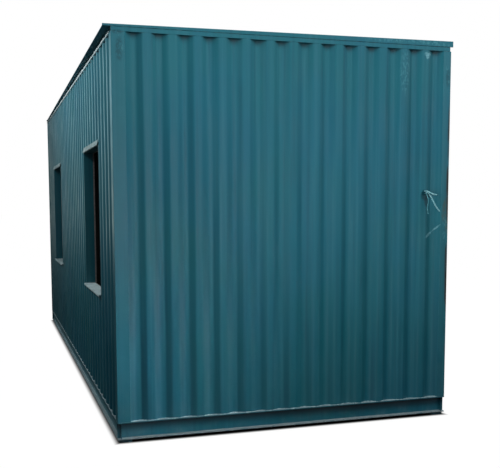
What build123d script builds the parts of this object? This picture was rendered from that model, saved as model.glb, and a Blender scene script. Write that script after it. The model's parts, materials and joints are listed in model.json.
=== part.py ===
from build123d import *
import math
import os

# Shipping container cabin: a corrugated steel box on a channel base, with empty window openings.
# Millimetres. +Z is up, the front end wall faces -Y, and the long wall with the shown windows faces -X.
# The origin is at ground level, in the middle of the box that holds the whole cabin.

# Walls, measured over the outer faces of the corrugated sheets
cabin_length = 6096.0
cabin_width = 2438.0
wall_height = 2520.0
wall_thickness = 88.0
lining_thickness = 12.0

# Corrugated wall sheet: recesses between flat outer ridges
sheet_thickness = 2.0
recess_depth = 24.0
recess_flat = 31.0
slope_run = 43.0
ridge_flat = 48.0

# Base frame of channels that open outwards, on four foot plates
foot_size = 84.0
foot_inset = 12.0
foot_height = 20.0
base_height = 118.0
base_flange_width = 36.0
long_base_flange_width = 27.0
base_flange_thickness = 8.0
base_web_thickness = 6.0
base_end_plate_thickness = 6.0
base_end_plate_inset = 22.0
joist_width = 40.0
joist_height = 90.0
joist_spacing = 610.0
deck_thickness = 18.0

# Corner posts, measured along the end walls, and top frame
left_post_width = 88.0
right_post_width = 62.0
post_wall = 4.0
end_rail_height = 30.0
end_rail_depth = 60.0
end_rail_wall = 4.0
end_rail_right_gap = 8.0
side_rail_flange_width = 36.0
side_rail_flange_thickness = 7.0
side_rail_web_thickness = 6.0
ceiling_thickness = 12.0

# Roof sheet, ribbed across the cabin and falling towards the windows, laid slightly askew
roof_fall = 27.0
roof_rib_depth = 12.0
roof_rib_flat = 60.0
roof_rib_slope = 16.0
roof_valley_flat = 74.0
roof_sheet_thickness = 2.0
left_eave = 52.0
left_back_eave = 8.0
right_eave = 13.0
fascia_thickness = 6.0
fascia_proud = 3.0
bow_width = 40.0
bow_spacing = 1000.0
bow_clearance = 0.3

# Window openings, measured from the top of the base and from the end walls
window_width = 970.0
window_height = 1093.0
window_sill_level = 767.0
front_window_offset = 735.0
back_window_offset = 1040.0
frame_plate = 5.0

# Doorway in the far long wall
door_width = 900.0
door_height = 1940.0

# Light metal flashings at the windows
sill_thickness = 6.0
sill_proud = 18.0
sill_lip_height = 14.0
sill_lip_thickness = 3.0
drip_proud = 28.0
drip_rise = 37.0
drip_thickness = 3.0

# Cable gland on the front end wall, with three bare cable tails
gland_level = 1515.0
gland_offset = 7.0
gland_diameter = 32.0
gland_length = 10.0
gland_nut_diameter = 40.0
gland_nut_length = 4.0
tail_diameter = 10.5
thin_tail_diameter = 5.0
tail_run_share = 0.45

# Routes of the cable tails, in steps from the middle of the gland's face
upper_route = [
    (-4, 0, 8), (-4, -24, 8), (2, -47, 2), (16, -61, -9), (35, -68, -17), (53, -71, -18),
]
middle_route = [
    (7, 0, -4), (7, -25, -4), (11, -48, -18), (20, -62, -45), (35, -70, -80), (53, -74, -112),
    (74, -78, -135),
]
lower_route = [
    (-6, 0, -7), (-6, -19, -7), (-5, -35, -18), (-2, -43, -40), (2, -46, -68), (-5, -46, -98),
    (-5, -44, -128), (4, -42, -156),
]

# One overrun serves all cuts, and points closer than a share of the sheet's thickness count as one
cut_overrun = 5.0
same_point_share = 0.01

# Levels
base_bottom = foot_height
base_top = base_bottom + base_height
deck_top = base_top + deck_thickness
sheet_top = base_top + wall_height
rail_top = sheet_top + end_rail_height
roof_depth = roof_rib_depth + roof_sheet_thickness
window_bottom = base_top + window_sill_level
window_top = window_bottom + window_height
door_top = deck_top + door_height

# Outer planes: the box that holds the cabin is centred on the origin
right_reach = max(right_eave, drip_proud)
left_reach = max(left_eave, left_back_eave, drip_proud)
left_x = (left_reach - right_reach - cabin_width) / 2
right_x = left_x + cabin_width
front_y = -cabin_length / 2
back_y = cabin_length / 2
lining_outer = wall_thickness - lining_thickness

# Openings along the long walls, as first and last Y
front_window = (front_y + front_window_offset, front_y + front_window_offset + window_width)
back_window = (back_y - back_window_offset - window_width, back_y - back_window_offset)
door_middle = (front_window[1] + back_window[0]) / 2
doorway = (door_middle - door_width / 2, door_middle + door_width / 2)

nodes = {}


def box(x, y, z):
    """A block between the two ends given for each axis."""
    middle = Pos((x[0] + x[1]) / 2, (y[0] + y[1]) / 2, (z[0] + z[1]) / 2)
    return middle * Box(abs(x[1] - x[0]), abs(y[1] - y[0]), abs(z[1] - z[0]))


def outline(points):
    """A flat face with straight sides through the points."""
    return make_face(Polyline(*points, close=True))


def along_x(points, x):
    """A section given in Y and Z, drawn out between two X."""
    section = Plane(origin=(x[0], 0, 0), x_dir=(0, 1, 0), z_dir=(1, 0, 0)) * outline(points)
    return extrude(section, x[1] - x[0])


def along_y(points, y):
    """A section given in X and Z, drawn out between two Y."""
    section = Plane(origin=(0, y[1], 0), x_dir=(1, 0, 0), z_dir=(0, -1, 0)) * outline(points)
    return extrude(section, y[1] - y[0])


def along_z(points, z):
    """A section given in X and Y, drawn out between two Z."""
    section = Pos(0, 0, z[0]) * outline(points)
    return extrude(section, z[1] - z[0])


def from_left(inward):
    """X of a place that lies inward of the left wall's outer plane."""
    return left_x + inward


def from_right(inward):
    """X of a place that lies inward of the right wall's outer plane."""
    return right_x - inward


def from_front(inward):
    """Y of a place that lies inward of the front wall's outer plane."""
    return front_y + inward


def from_back(inward):
    """Y of a place that lies inward of the back wall's outer plane."""
    return back_y - inward


def channel_points(place, flange, web, flange_thickness, z):
    """Section of a channel that opens outwards, as pairs of place and Z."""
    outer = place(0)
    web_outer = place(flange - web)
    web_inner = place(flange)
    return [
        (outer, z[0]),
        (web_inner, z[0]),
        (web_inner, z[1]),
        (outer, z[1]),
        (outer, z[1] - flange_thickness),
        (web_outer, z[1] - flange_thickness),
        (web_outer, z[0] + flange_thickness),
        (outer, z[0] + flange_thickness),
    ]


def spread(first, last, spacing):
    """Evenly spaced places from first to last, about one spacing apart."""
    bays = max(1, round((last - first) / spacing))
    return [first + (last - first) * i / bays for i in range(bays + 1)]


def wave(span, depth, slope, low_flat, high_flat):
    """Line of a ribbed sheet that starts and ends with a dip: pairs of place along it and depth."""
    dip = 2 * slope + low_flat
    count = max(2, round((span + high_flat) / (dip + high_flat)))
    pitch = (span - dip) / (count - 1)
    line = []
    for i in range(count):
        start = i * pitch
        line += [(start, 0), (start + slope, depth), (start + slope + low_flat, depth), (start + dip, 0)]
    return line


def clip(line, ends):
    """The stretch of a line of pairs between two places along it."""
    kept = []
    for (s0, d0), (s1, d1) in zip(line, line[1:]):
        for place in sorted((s0, *ends, s1)):
            if s0 <= place <= s1 and ends[0] <= place <= ends[1] and s1 > s0:
                pair = (place, d0 + (d1 - d0) * (place - s0) / (s1 - s0))
                if not kept or place - kept[-1][0] > sheet_thickness * same_point_share:
                    kept.append(pair)
    return kept


def thicken(line, thickness):
    """A closed strip: the line, and the line again one thickness deeper."""
    return line + [(s, d + thickness) for s, d in reversed(line)]


end_span = cabin_width - left_post_width - right_post_width
end_wave = wave(end_span, recess_depth, slope_run, recess_flat, ridge_flat)
long_wave = wave(cabin_length - 2 * wall_thickness, recess_depth, slope_run, recess_flat, ridge_flat)


def end_sheet(place):
    """The corrugated sheet of an end wall, between its posts and rails."""
    strip = thicken(end_wave, sheet_thickness)
    points = [(left_x + left_post_width + s, place(d)) for s, d in strip]
    return along_z(points, (base_top, sheet_top))


def long_sheet(place, y, z):
    """A piece of a long wall's corrugated sheet, between two Y and two Z."""
    start = front_y + wall_thickness
    strip = thicken(clip(long_wave, (y[0] - start, y[1] - start)), sheet_thickness)
    points = [(place(d), start + s) for s, d in strip]
    return along_z(points, z)


def lining(place, y, z):
    """A piece of a long wall's inner lining board, between two Y and two Z."""
    return box((place(lining_outer), place(wall_thickness)), y, z)


def piers(openings, margin):
    """Stretches of a long wall between its posts that no opening crosses, as pairs of Y."""
    starts = [front_y + wall_thickness] + [last + margin for first, last in openings]
    ends = [first - margin for first, last in openings] + [back_y - wall_thickness]
    return list(zip(starts, ends))


def widened(opening, margin):
    """An opening's two Y, with a margin added at each side."""
    return (opening[0] - margin, opening[1] + margin)


def frame_ring(place, opening, z, bottom_plate):
    """Plates that line an opening through the wall, from the outer plane to the lining."""
    depth = (place(0), place(lining_outer))
    through = (place(-cut_overrun), place(lining_outer + cut_overrun))
    block = box(depth, widened(opening, frame_plate), (z[0] - bottom_plate, z[1] + frame_plate))
    return block - box(through, opening, z)


def window_sill(place, opening):
    """A sill plate on the frame's lower plate, with a lip turned down outside the wall."""
    plate_z = (window_bottom, window_bottom + sill_thickness)
    plate = box((place(-sill_proud), place(lining_outer)), opening, plate_z)
    lip_x = (place(-sill_proud), place(sill_lip_thickness - sill_proud))
    return plate + box(lip_x, opening, (plate_z[1] - sill_lip_height, plate_z[1]))


def window_drip(place, opening):
    """A sloping strip that throws rain clear of the window's head."""
    top = window_top + drip_rise
    points = [
        (place(0), top),
        (place(-drip_proud), top - drip_rise),
        (place(-drip_proud), top - drip_rise - drip_thickness),
        (place(0), top - drip_thickness),
    ]
    return along_y(points, widened(opening, frame_plate))


def roof_underside(x):
    """Height of the roof sheet's underside at an X."""
    return rail_top + roof_fall * (x - left_x) / cabin_width


def make_base():
    """Foot plates, base channels, joists and floor deck."""
    feet = []
    foot_reach = foot_inset + foot_size
    for x_place in (from_left, from_right):
        for y_place in (from_front, from_back):
            x = (x_place(foot_inset), x_place(foot_reach))
            y = (y_place(foot_inset), y_place(foot_reach))
            feet.append(box(x, y, (0, foot_height)))
    nodes["foot_plates"] = feet

    z = (base_bottom, base_top)
    long_section = (long_base_flange_width, base_web_thickness, base_flange_thickness, z)
    plate_z = (base_bottom + base_flange_thickness, base_top - base_flange_thickness)
    plate_reach = base_end_plate_inset + base_end_plate_thickness
    for name, place in (("left", from_left), ("right", from_right)):
        channel = along_y(channel_points(place, *long_section), (front_y, back_y))
        plate_x = (place(0), place(long_base_flange_width - base_web_thickness))
        for end in (from_front, from_back):
            channel += box(plate_x, (end(base_end_plate_inset), end(plate_reach)), plate_z)
        nodes["base_channel_" + name] = channel

    section = (base_flange_width, base_web_thickness, base_flange_thickness, z)
    between = (from_left(long_base_flange_width), from_right(long_base_flange_width))
    nodes["base_channel_front"] = along_x(channel_points(from_front, *section), between)
    nodes["base_channel_back"] = along_x(channel_points(from_back, *section), between)

    first = from_front(wall_thickness) + joist_width / 2
    last = from_back(wall_thickness) - joist_width / 2
    joists = []
    for y in spread(first, last, joist_spacing):
        joist_y = (y - joist_width / 2, y + joist_width / 2)
        joists.append(box(between, joist_y, (base_top - joist_height, base_top)))
    nodes["floor_joists"] = joists

    room_x = (from_left(wall_thickness), from_right(wall_thickness))
    room_y = (from_front(wall_thickness), from_back(wall_thickness))
    nodes["floor_deck"] = box(room_x, room_y, (base_top, deck_top))
    nodes["ceiling_board"] = box(room_x, room_y, (sheet_top - ceiling_thickness, sheet_top))


def make_frame():
    """Hollow corner posts, end rails and side rails."""
    rails_x = (left_x, from_right(end_rail_right_gap))
    sides = (("left", from_left, left_post_width), ("right", from_right, right_post_width))
    for x_name, x_place, post_width in sides:
        for y_name, y_place in (("front", from_front), ("back", from_back)):
            x = (x_place(0), x_place(post_width))
            y = (y_place(0), y_place(wall_thickness))
            bore_x = (x_place(post_wall), x_place(post_width - post_wall))
            bore_y = (y_place(post_wall), y_place(wall_thickness - post_wall))
            bore_z = (base_top - cut_overrun, sheet_top + cut_overrun)
            post = box(x, y, (base_top, sheet_top)) - box(bore_x, bore_y, bore_z)
            nodes["corner_post_" + y_name + "_" + x_name] = post

    for name, place in (("front", from_front), ("back", from_back)):
        outside = box(rails_x, (place(0), place(end_rail_depth)), (sheet_top, rail_top))
        bore_y = (place(end_rail_wall), place(end_rail_depth - end_rail_wall))
        bore_z = (sheet_top + end_rail_wall, rail_top - end_rail_wall)
        bore = box((rails_x[0] - cut_overrun, rails_x[1] + cut_overrun), bore_y, bore_z)
        nodes["top_rail_" + name] = outside - bore

    rail_y = (from_front(end_rail_depth), from_back(end_rail_depth))
    right_rail_top = roof_underside(from_right(side_rail_flange_width))
    section = (side_rail_flange_width, side_rail_web_thickness, side_rail_flange_thickness)
    left_section = channel_points(from_left, *section, (sheet_top, rail_top))
    right_section = channel_points(from_right, *section, (sheet_top, right_rail_top))
    nodes["top_rail_left"] = along_y(left_section, rail_y)
    nodes["top_rail_right"] = along_y(right_section, rail_y)


def make_walls():
    """Corrugated outer sheets and inner linings of the four walls."""
    full = (base_top, sheet_top)
    windows = (front_window, back_window)
    for name, place in (("front", from_front), ("back", from_back)):
        nodes[name + "_wall"] = end_sheet(place)
        across = (from_left(left_post_width), from_right(right_post_width))
        nodes[name + "_lining"] = box(across, (place(lining_outer), place(wall_thickness)), full)

    for name, place in (("left", from_left), ("right", from_right)):
        heads = [(window, window_top) for window in windows]
        if name == "right":
            heads.insert(1, (doorway, door_top))
        openings = [opening for opening, head in heads]
        nodes[name + "_wall_piers"] = [long_sheet(place, y, full) for y in piers(openings, frame_plate)]
        nodes[name + "_lining_piers"] = [lining(place, y, full) for y in piers(openings, 0)]
        under = (base_top, window_bottom - frame_plate)
        nodes[name + "_wall_under_windows"] = [
            long_sheet(place, widened(window, frame_plate), under) for window in windows
        ]
        nodes[name + "_lining_under_windows"] = [
            lining(place, window, (base_top, window_bottom)) for window in windows
        ]
        nodes[name + "_wall_over_openings"] = [
            long_sheet(place, widened(opening, frame_plate), (head + frame_plate, sheet_top))
            for opening, head in heads
        ]
        nodes[name + "_lining_over_openings"] = [
            lining(place, opening, (head, sheet_top)) for opening, head in heads
        ]


def make_windows():
    """Frames, sills and drip strips of the window openings, and the doorway's frame."""
    z = (window_bottom, window_top)
    for name, place in (("left", from_left), ("right", from_right)):
        nodes["window_frame_" + name + "_front"] = frame_ring(place, front_window, z, frame_plate)
        nodes["window_frame_" + name + "_back"] = frame_ring(place, back_window, z, frame_plate)
        both = (front_window, back_window)
        nodes["window_sills_" + name] = [window_sill(place, window) for window in both]
        nodes["window_drips_" + name] = [window_drip(place, window) for window in both]
    nodes["door_frame"] = frame_ring(from_right, doorway, (deck_top, door_top), deck_thickness)


def make_roof():
    """The ribbed roof sheet, the bows under it and the fascias that close its ends."""
    slope = roof_fall / cabin_width
    roof_x = (left_x - max(left_eave, left_back_eave), right_x + right_eave)
    fascia_inner = fascia_thickness - fascia_proud

    # The sheet's section stands square to the fall and is drawn out down the fall
    first_y = from_front(fascia_inner)
    span = cabin_length - 2 * fascia_inner
    ribs = wave(span, roof_rib_depth, roof_rib_slope, roof_rib_flat, roof_valley_flat)
    strip = thicken(ribs, roof_sheet_thickness)
    section_plane = Plane(
        origin=(roof_x[0], first_y, roof_underside(roof_x[0])),
        x_dir=(0, 1, 0),
        z_dir=(1, 0, slope),
    )
    section = section_plane * outline(strip)
    sheet = extrude(section, (roof_x[1] - roof_x[0]) * math.sqrt(1 + slope * slope))

    # The left eave is trimmed along a line from the front eave to the back eave
    reach = max(left_eave, left_back_eave) + cut_overrun
    trim = [
        (left_x - left_eave, front_y),
        (left_x - left_back_eave, back_y),
        (left_x - reach, back_y),
        (left_x - reach, front_y),
    ]
    trim_top = roof_underside(roof_x[1]) + roof_depth + cut_overrun
    nodes["roof_sheet"] = sheet - along_z(trim, (sheet_top, trim_top))

    ends = (
        ("front", left_eave, (from_front(-fascia_proud), from_front(fascia_inner))),
        ("back", left_back_eave, (from_back(fascia_inner), from_back(-fascia_proud))),
    )
    for name, eave, y in ends:
        fascia_points = [
            (left_x - eave, rail_top),
            (roof_x[1], rail_top),
            (roof_x[1], roof_underside(roof_x[1]) + roof_depth),
            (left_x - eave, roof_underside(left_x - eave) + roof_depth),
        ]
        nodes["roof_fascia_" + name] = along_y(fascia_points, y)

    bow_x = (from_left(side_rail_flange_width), from_right(side_rail_flange_width))
    bow_points = [
        (bow_x[0], sheet_top),
        (bow_x[1], sheet_top),
        (bow_x[1], roof_underside(bow_x[1]) - bow_clearance),
        (bow_x[0], roof_underside(bow_x[0]) - bow_clearance),
    ]
    places = spread(from_front(end_rail_depth), from_back(end_rail_depth), bow_spacing)[1:-1]
    nodes["roof_bows"] = [along_y(bow_points, (y - bow_width / 2, y + bow_width / 2)) for y in places]


def tail_tube(name, face, route, diameter):
    """A cable tail: straight runs from the gland's face along the route, joined by tangent arcs."""
    points = [Vector(*face) + Vector(*step) for step in route]
    radii = []
    for before, corner, after in zip(points, points[1:], points[2:]):
        first_run = corner - before
        next_run = after - corner
        turn = math.radians(first_run.get_angle(next_run))
        shorter = min(first_run.length, next_run.length)
        radii.append(tail_run_share * shorter / math.tan(turn / 2))
    path = FilletPolyline(*points, radius=radii)
    start = Plane(origin=points[0], z_dir=points[1] - points[0])
    tube = sweep(start * Circle(diameter / 2), path=path)
    straight_volume = math.pi * diameter * diameter / 4 * path.length
    print(name, "length", round(path.length, 1), "radii", [round(r, 1) for r in radii])
    print(name, "volume over section times length", round(tube.volume / straight_volume, 4))
    nodes[name] = tube


def make_cables():
    """The gland on the last ridge of the front wall and the three bare tails that leave it."""
    ridge_middle = (end_wave[-5][0] + end_wave[-4][0]) / 2
    gland_x = left_x + left_post_width + ridge_middle + gland_offset
    gland_z = base_top + gland_level
    out = Plane(origin=(gland_x, front_y, gland_z), x_dir=(1, 0, 0), z_dir=(0, -1, 0))
    nut = extrude(out * RegularPolygon(gland_nut_diameter / 2, 6), gland_nut_length)
    body = extrude(out * Circle(gland_diameter / 2), gland_length)
    nodes["cable_gland"] = nut + body

    # Routes run from the middle of the gland's face
    face = (gland_x, front_y - gland_length, gland_z)
    tail_tube("cable_tail_upper", face, upper_route, tail_diameter)
    tail_tube("cable_tail_middle", face, middle_route, tail_diameter)
    tail_tube("cable_tail_lower", face, lower_route, thin_tail_diameter)


make_base()
make_frame()
make_walls()
make_windows()
make_roof()
make_cables()

os.makedirs("parts", exist_ok=True)
for name, shape in nodes.items():
    whole = Compound(children=shape) if isinstance(shape, list) else shape
    export_step(whole, "parts/" + name + ".step")
print(len(nodes), "nodes")
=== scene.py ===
"""The cabin's visual model round its CAD frame, in metres: surfaces, trim, camera, sky and lights."""
import json
import math

import bmesh
import bpy
from mathutils import Matrix, Vector, noise


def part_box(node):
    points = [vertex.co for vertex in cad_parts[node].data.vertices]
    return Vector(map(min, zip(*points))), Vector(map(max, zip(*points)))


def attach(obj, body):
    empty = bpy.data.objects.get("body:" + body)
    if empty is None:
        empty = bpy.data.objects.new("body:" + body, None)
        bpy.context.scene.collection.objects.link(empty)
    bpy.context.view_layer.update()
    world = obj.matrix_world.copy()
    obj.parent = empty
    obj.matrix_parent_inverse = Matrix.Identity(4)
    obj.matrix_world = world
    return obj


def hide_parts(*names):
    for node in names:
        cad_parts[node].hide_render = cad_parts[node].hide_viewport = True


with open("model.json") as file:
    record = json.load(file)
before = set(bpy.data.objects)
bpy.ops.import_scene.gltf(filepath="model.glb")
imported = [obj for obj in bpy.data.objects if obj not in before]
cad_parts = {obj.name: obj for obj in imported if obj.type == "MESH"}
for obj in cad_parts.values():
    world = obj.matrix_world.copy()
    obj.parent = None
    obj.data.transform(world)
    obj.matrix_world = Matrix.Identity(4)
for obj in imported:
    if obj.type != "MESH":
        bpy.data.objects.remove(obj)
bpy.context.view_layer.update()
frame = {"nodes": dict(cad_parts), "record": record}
nodes = frame["nodes"]
scene = bpy.context.scene

# Photograph's frame and the camera fitted to it
FRAME_WIDTH_PX = 500
FOCAL_PX = 812.4
CAMERA_SHIFT_PX = 50
CAMERA_FROM_CORNER = Vector((-0.7468, -5.2538, 1.5654))
CAMERA_YAW = math.radians(17.561)
CAMERA_PITCH = math.radians(-5.556)
CAMERA_ROLL = math.radians(-0.145)
SENSOR_WIDTH_MM = 36

# Planes and levels of the cabin, read from the frame
post_low, post_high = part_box("corner_post_front_left")
far_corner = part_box("corner_post_back_right")[1]
LEFT_X = post_low.x
FRONT_Y = post_low.y
RIGHT_X = far_corner.x
BACK_Y = far_corner.y
POST_DEPTH = post_high.y - post_low.y
BASE_TOP = post_low.z
BASE_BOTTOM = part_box("base_channel_front")[0].z
SHEET_TOP = post_high.z
RAIL_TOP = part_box("top_rail_front")[1].z
DOOR_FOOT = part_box("door_frame")[0].z
UP = Vector((0, 0, 1))
ENDS = ("front", "back")
SIDES = ("left", "right")

# Axes, as places in a vector
X, Y, Z = 0, 1, 2

# Angles between faces that count as flat, sharp and smooth, and a distance within which places count as one
FLAT_ANGLE = math.radians(2)
SHARP_ANGLE = math.radians(20)
SMOOTH_ANGLE = math.radians(40)
SAME_PLACE = 1e-5

# Corrugated wall sheet
SHEET_THICKNESS = 0.002
RECESS_FLAT = 0.031
SLOPE_RUN = 0.043
RIDGE_FLAT = 0.048
RECESS_DEPTH = 0.024
END_BEND_RADIUS = 0.046
LONG_BEND_RADIUS = 0.030
BEND_STEPS = 4
SHEET_ROWS = 36
FEWEST_ROWS = 6

# Depths of the broad and fine dents in the end walls and the long walls, scales of their noise along a wall
# and up it, steps between its seeds, and the distance from a sheet's foot or top over which dents fade out
END_DENTS = (0.0012, 0.0004)
LONG_DENTS = (0.0010, 0.0010)
BROAD_DENT_SCALE = (1.4, 0.9)
FINE_DENT_SCALE = (6.0, 3.0)
WALL_SEED_STEP = 11.0
FINE_SEED_STEP = 5.0
DENT_FADE = 0.12

# Ribbed roof sheet
ROOF_FALL = 0.027
ROOF_RIB_DEPTH = 0.012
ROOF_RIB_FLAT = 0.060
ROOF_RIB_SLOPE = 0.016
ROOF_VALLEY_FLAT = 0.074
ROOF_BEND_RADIUS = 0.012
ROOF_ROWS = 16
ROOF_EDGE_ROWS = 8
ROOF_FLAT_EDGE = 0.035
ROOF_RIB_RISE = 0.10

# Boards: width, share of it that a board may be over, gap between two, and the share of a face's normal
# across the board above which the face has the film
BOARD_WIDTH = 1.22
BOARD_SPARE_SHARE = 0.05
BOARD_GAP = 0.003
FILM_FACE_SHARE = 0.8

# Weld beads at the foot of the walls, and seams along the side rails
BEAD_RADIUS = 0.0052
BEAD_STEP = 0.008
BEAD_SIDES = 6
BEAD_INSET_SHARE = 0.40
BEAD_RISE_SHARE = 0.3
SEAM_RADIUS = 0.0112
SEAM_RISE = 0.0035
SEAM_STEP = 0.03

# Lumps of a bead: its mean share of the radius, then shares of the radius with the scales of their noise
BEAD_MEAN_SHARE = 0.75
BEAD_LUMPS = [(0.45, 21), (0.2, 120)]

# Radii of the rounded edges of plain pieces, and the steps of narrow and wide roundings
PLATE_EDGE = 0.0012
BOARD_EDGE = 0.0012
CHANNEL_EDGE = 0.0015
GLAND_EDGE = 0.0015
FOOT_EDGE = 0.002
RAIL_EDGE = 0.0025
BAR_EDGE = 0.003
POST_EDGE = 0.006
NARROW_STEPS = 2
WIDE_STEPS = 3

# Folded drip strip over a window, as distance out from the wall and height over the opening
DRIP_FOLD = [(0, 0.036), (0.009, 0.003), (0.009, -0.003), (0.0075, -0.003), (0.0075, 0.0022), (0, 0.033)]

# Routes of the cable tails, in steps from the middle of the gland's face
UPPER_ROUTE = [
    (-0.004, 0, 0.008), (-0.004, -0.024, 0.008), (0.002, -0.047, 0.002), (0.016, -0.061, -0.009),
    (0.035, -0.068, -0.017), (0.053, -0.071, -0.018),
]
MIDDLE_ROUTE = [
    (0.007, 0, -0.004), (0.007, -0.025, -0.004), (0.011, -0.048, -0.018), (0.020, -0.062, -0.045),
    (0.035, -0.070, -0.080), (0.053, -0.074, -0.112), (0.074, -0.078, -0.135),
]
LOWER_ROUTE = [
    (-0.006, 0, -0.007), (-0.006, -0.019, -0.007), (-0.005, -0.035, -0.018), (-0.002, -0.043, -0.040),
    (0.002, -0.046, -0.068), (-0.005, -0.046, -0.098), (-0.005, -0.044, -0.128), (0.004, -0.042, -0.156),
]

# Cable tails: look, diameter, length and route, and the steps of their curves and round sections
TAILS = {
    "upper": ("cable", 0.0105, 0.110, UPPER_ROUTE),
    "middle": ("cable", 0.0105, 0.190, MIDDLE_ROUTE),
    "lower": ("thin_cable", 0.005, 0.179, LOWER_ROUTE),
}
TAIL_STEPS = 10
TAIL_ROUND_STEPS = 4

# Pale floor and backdrop, and the distances past the cabin's plan where the soft shadow painted on the floor
# starts and ends
FLOOR_SIZE = 200
FLOOR_COLOR = (0.01, 0.01, 0.01)
FLOOR_PAINTED_SHADOW = (-0.015, 0.035)
PALE = 1.0
WHITE = (1, 1, 1)

# Sky: its tint, its light, the gloss that it and the ground give the paint, and the heights where they meet
SKY = (0.85, 0.965, 1.02)
AMBIENT = 0.06
SKY_GLOSS = 1.05
GROUND_GLOSS = 0.03
HORIZON = (-0.08, 0.05)

# Pale ground in front of the cabin, which the paint mirrors below the horizon, more so to the left
FRONT_GROUND_RISE = 0.17
FRONT_GROUND_TILT = 0.25

# Hazy low sky behind the cabin, down to a near horizon, and bluer, brighter sky higher up
HAZE = (0.82, 1.06, 1.0)
BACK_SKY = (0.55, 0.90, 1.0)
BACK_GROUND_RISE = 0.07
HIGH_SKY = (0.03, 0.09)
HIGH_SKY_GAIN = 0.6

# Dim band low in the sky behind: heights where it starts and ends, and its share of the light round it
BAND_FOOT = (0.015, 0.035)
BAND_TOP = (0.050, 0.078)
BAND_SHARE = 0.72

# Brighter parts of the sky that the paint mirrors: direction and share, then the cosines of the angles
# from it at which a glow starts and is full, and the share elsewhere
GLOWS = [
    ((0.40, -0.92, 0), 0.87),
    ((-0.93, 0.37, 0), 0.15),
    ((-0.10, 0.99, 0), 0.58),
    ((0.93, 0.37, 0), 0.6),
]
GLOW_REACH = (0.50, 0.90)
REST_GLOW = 0.3

# Soft lights: place, point that they face, width, height, watts and spread of the beam in degrees
LIGHTS = {
    "high_key": ((1.25, FRONT_Y - 2.3, 5.2), (1.25, FRONT_Y, 3.4), 3.8, 2.0, 168, 180),
    "cross_from_right": ((2.6, FRONT_Y - 2.2, 0.9), (-1.6, FRONT_Y, 0.5), 0.6, 1.4, 4.6, 28),
    "upper_left": ((-1.5, FRONT_Y - 1.8, 3.3), (-0.7, FRONT_Y, 2.4), 0.6, 0.6, 1.3, 50),
    "cross_from_left": ((-1.8, FRONT_Y - 2.0, 1.6), (2.0, FRONT_Y, 1.7), 0.8, 1.8, 7, 60),
    "front_fill": ((-0.6, FRONT_Y - 2.6, 1.5), (-0.7, FRONT_Y, 1.5), 1.2, 1.0, 8.0, 110),
    "left_fill": ((LEFT_X - 2.0, -1.2, 3.7), (LEFT_X, -1.2, 2.9), 5.0, 0.8, 52, 120),
    "right_fill": ((RIGHT_X + 3.0, 3.4, 3.4), (RIGHT_X, -0.6, 1.2), 3.0, 1.6, 250, 180),
    "back_fill": ((0.3, BACK_Y + 3.4, 3.6), (0.1, BACK_Y, 1.2), 2.4, 1.8, 150, 180),
    "roof_fill": ((0.0, 0.3, 7.5), (0.0, 0.3, 0.0), 2.2, 6.0, 240, 180),
}


def make_camera():
    """The camera at the photograph's viewing angle."""
    forward = Vector((
        math.sin(CAMERA_YAW) * math.cos(CAMERA_PITCH),
        math.cos(CAMERA_YAW) * math.cos(CAMERA_PITCH),
        math.sin(CAMERA_PITCH),
    ))
    level_right = Vector((math.cos(CAMERA_YAW), -math.sin(CAMERA_YAW), 0))
    level_up = level_right.cross(forward)
    right = level_right * math.cos(CAMERA_ROLL) + level_up * math.sin(CAMERA_ROLL)
    up = right.cross(forward)
    data = bpy.data.cameras.new("camera")
    data.sensor_fit = "HORIZONTAL"
    data.sensor_width = SENSOR_WIDTH_MM
    data.lens = FOCAL_PX / FRAME_WIDTH_PX * SENSOR_WIDTH_MM
    data.shift_y = CAMERA_SHIFT_PX / FRAME_WIDTH_PX
    camera = bpy.data.objects.new("camera", data)
    camera.matrix_world = Matrix((right, up, -forward)).transposed().to_4x4()
    camera.location = Vector((LEFT_X, FRONT_Y, 0)) + CAMERA_FROM_CORNER
    scene.collection.objects.link(camera)
    scene.camera = camera


class Nodes:
    """A node tree, with short calls that add nodes to it and join them."""

    def __init__(self, tree, coordinate):
        self.tree = tree
        self.place = self.node("ShaderNodeTexCoord").outputs[coordinate]

    def node(self, kind, **settings):
        made = self.tree.nodes.new(kind)
        for key, value in settings.items():
            setattr(made, key, value)
        return made

    def feed(self, socket, value):
        if isinstance(value, bpy.types.NodeSocket):
            self.tree.links.new(value, socket)
        elif socket.type == "RGBA":
            socket.default_value = (*value, 1)
        else:
            socket.default_value = value

    def ease(self, value, low, high, start=0.0, end=1.0):
        """Start below low, end above high and an eased change between."""
        mapped = self.node("ShaderNodeMapRange", interpolation_type="SMOOTHSTEP")
        self.feed(mapped.inputs["Value"], value)
        mapped.inputs["From Min"].default_value = low
        mapped.inputs["From Max"].default_value = high
        mapped.inputs["To Min"].default_value = start
        mapped.inputs["To Max"].default_value = end
        return mapped.outputs["Result"]

    def math(self, operation, *values):
        made = self.node("ShaderNodeMath", operation=operation)
        for socket, value in zip(made.inputs, values):
            self.feed(socket, value)
        return made.outputs[0]

    def axis(self, vector, name):
        made = self.node("ShaderNodeSeparateXYZ")
        self.feed(made.inputs[0], vector)
        return made.outputs[name]

    def mix(self, share, first, second):
        """A colour between two colours."""
        made = self.node("ShaderNodeMix", data_type="RGBA")
        first_socket, second_socket = [socket for socket in made.inputs if socket.type == "RGBA"]
        self.feed(made.inputs["Factor"], share)
        self.feed(first_socket, first)
        self.feed(second_socket, second)
        return next(socket for socket in made.outputs if socket.type == "RGBA")


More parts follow.
